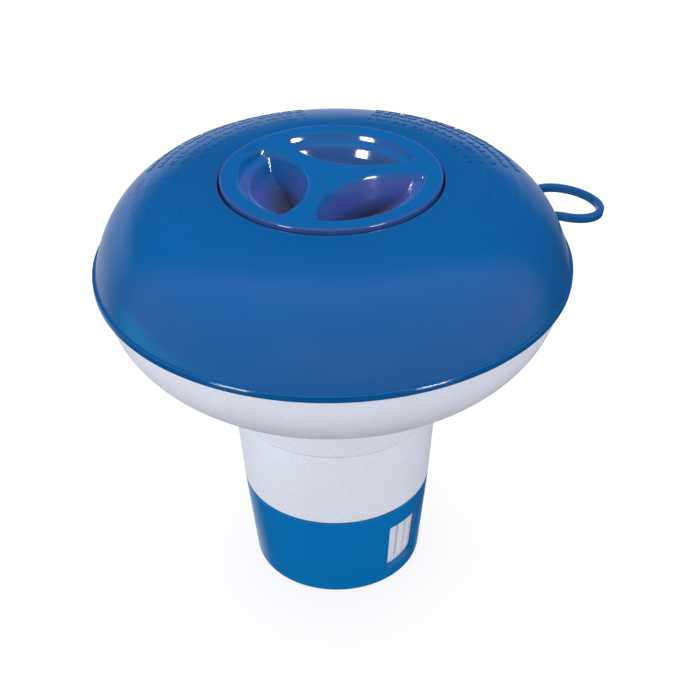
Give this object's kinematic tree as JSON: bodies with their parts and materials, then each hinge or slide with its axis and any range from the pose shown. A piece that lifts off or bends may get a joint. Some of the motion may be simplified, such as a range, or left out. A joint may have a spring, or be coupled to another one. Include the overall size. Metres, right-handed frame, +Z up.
{
  "type": "floating chlorine dispenser",
  "caption": "Floating pool dispenser: hollow domed float with a twist lid, a slotted stem that holds one-inch tablets, a turning flow cup and a tie-down loop.",
  "frame": {"origin": "on the axis, at the centre of the flow cup's flat underside, which the dispenser stands on", "axes": "+Z up the axis to the lid; the middle of the tie-down loop is 25 degrees round from +X towards +Y; the middle of one flow window is 41 degrees round from +X towards -Y"},
  "size_m": [0.1413, 0.127, 0.1235],
  "materials": {
    "float_blue": "gloss injection-moulded polypropylene",
    "cup_blue": "gloss injection-moulded polypropylene",
    "shell_white": "fine matt grain",
    "seal_rubber": "matt",
    "pressed_chlorine": "pressed powder"
  },
  "bodies": {
    "float": {"float_dome": "float_blue", "float_hull": "shell_white", "tether_loop": "float_blue", "stem_basket": "shell_white", "tablet_1": "pressed_chlorine", "tablet_2": "pressed_chlorine", "tablet_3": "pressed_chlorine"},
    "lid_seal": {"lid_gasket": "seal_rubber"},
    "lid": {"lid": "float_blue"},
    "flow_cup": {"flow_cup": "cup_blue"}
  },
  "joints": [
    {"name": "lid_lift", "type": "slide", "parent": "float", "child": "lid_seal", "axis": [0, 0, 1], "range_m": [0, 0.0451]},
    {"name": "lid_turn", "type": "hinge", "parent": "lid_seal", "child": "lid", "pos_m": [0, 0, 0.1208], "axis": [0, 0, 1], "range_deg": [0, 540]},
    {"name": "flow_turn", "type": "hinge", "parent": "float", "child": "flow_cup", "pos_m": [0, 0, 0.0143], "axis": [0, 0, 1], "range_deg": [0, 40]}
  ],
  "couplings": [
    {"joint": "lid_lift", "follows": "lid_turn", "m_per_rad": 0.0047747}
  ]
}
